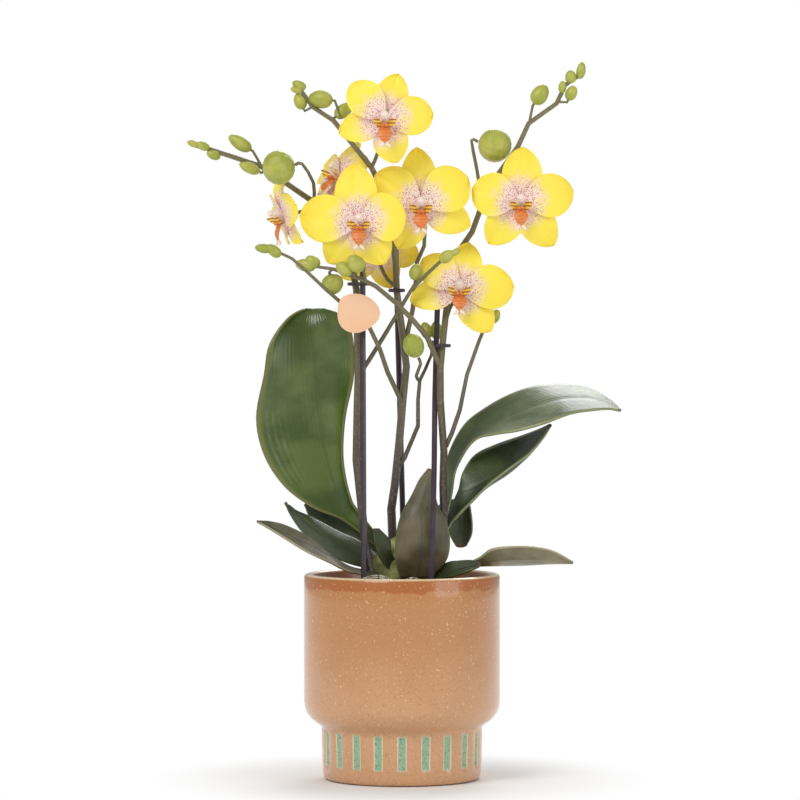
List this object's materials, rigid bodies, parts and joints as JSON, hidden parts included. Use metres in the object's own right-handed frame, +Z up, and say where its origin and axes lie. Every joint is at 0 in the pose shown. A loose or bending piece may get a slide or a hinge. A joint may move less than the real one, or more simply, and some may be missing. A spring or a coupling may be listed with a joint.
{
  "type": "potted moth orchid",
  "caption": "Yellow moth orchid in flower with staked spikes, buds and glossy leaves, growing in bark inside a glazed cover pot with a fluted foot.",
  "frame": {"origin": "middle of the pot's flat foot, on the surface that it stands on", "axes": "+Z up; the front of the plant, which most flowers face, looks along -Y"},
  "size_m": [0.2433, 0.1096, 0.4015],
  "materials": {
    "glaze": "gloss",
    "clear_plastic": "clear",
    "bark": "rough",
    "crown_green": "satin plant tissue",
    "root": "matte plant tissue",
    "dark_plastic": "satin",
    "card": "matte",
    "leaf": "waxy plant tissue",
    "stem": "satin plant tissue",
    "bud": "satin plant tissue",
    "petal": "soft plant tissue",
    "lip": "soft plant tissue"
  },
  "bodies": {
    "root": {"ceramic_pot": "glaze", "grow_pot": "clear_plastic", "bark_mix": "bark", "crown": "crown_green", "root_front": "root", "root_right": "root", "stake_left": "dark_plastic", "stake_middle": "dark_plastic", "stake_right": "dark_plastic", "clip_left": "dark_plastic", "clip_middle": "dark_plastic", "clip_right": "dark_plastic", "tag": "card", "leaf_upright_left": "leaf", "leaf_dark_left": "leaf", "leaf_dark_back": "leaf", "leaf_low_left": "leaf", "leaf_front": "leaf", "leaf_arching_right": "leaf", "leaf_channelled_right": "leaf", "leaf_drooping_back": "leaf", "leaf_low_right": "leaf", "leaf_short_right": "leaf", "leaf_small_centre": "leaf", "spike_left": "stem", "spike_middle": "stem", "spike_right": "stem", "branch_behind_tag": "stem", "branch_left_inner": "stem", "branch_right_inner": "stem", "branch_middle_low": "stem", "branch_middle_high": "stem", "branch_right_outer": "stem", "large_bud_left": "bud", "large_bud_middle": "bud", "large_bud_right": "bud", "sepals_top": "petal", "petals_top": "petal", "lip_top": "lip", "sepals_front": "petal", "petals_front": "petal", "lip_front": "lip", "sepals_centre": "petal", "petals_centre": "petal", "lip_centre": "lip", "sepals_upper_right": "petal", "petals_upper_right": "petal", "lip_upper_right": "lip", "sepals_lower_right": "petal", "petals_lower_right": "petal", "lip_lower_right": "lip", "sepals_left_profile": "petal", "petals_left_profile": "petal", "lip_left_profile": "lip", "sepals_upper_left": "petal", "petals_upper_left": "petal", "lip_upper_left": "lip", "sepals_behind": "petal", "petals_behind": "petal", "lip_behind": "lip"}
  },
  "joints": []
}
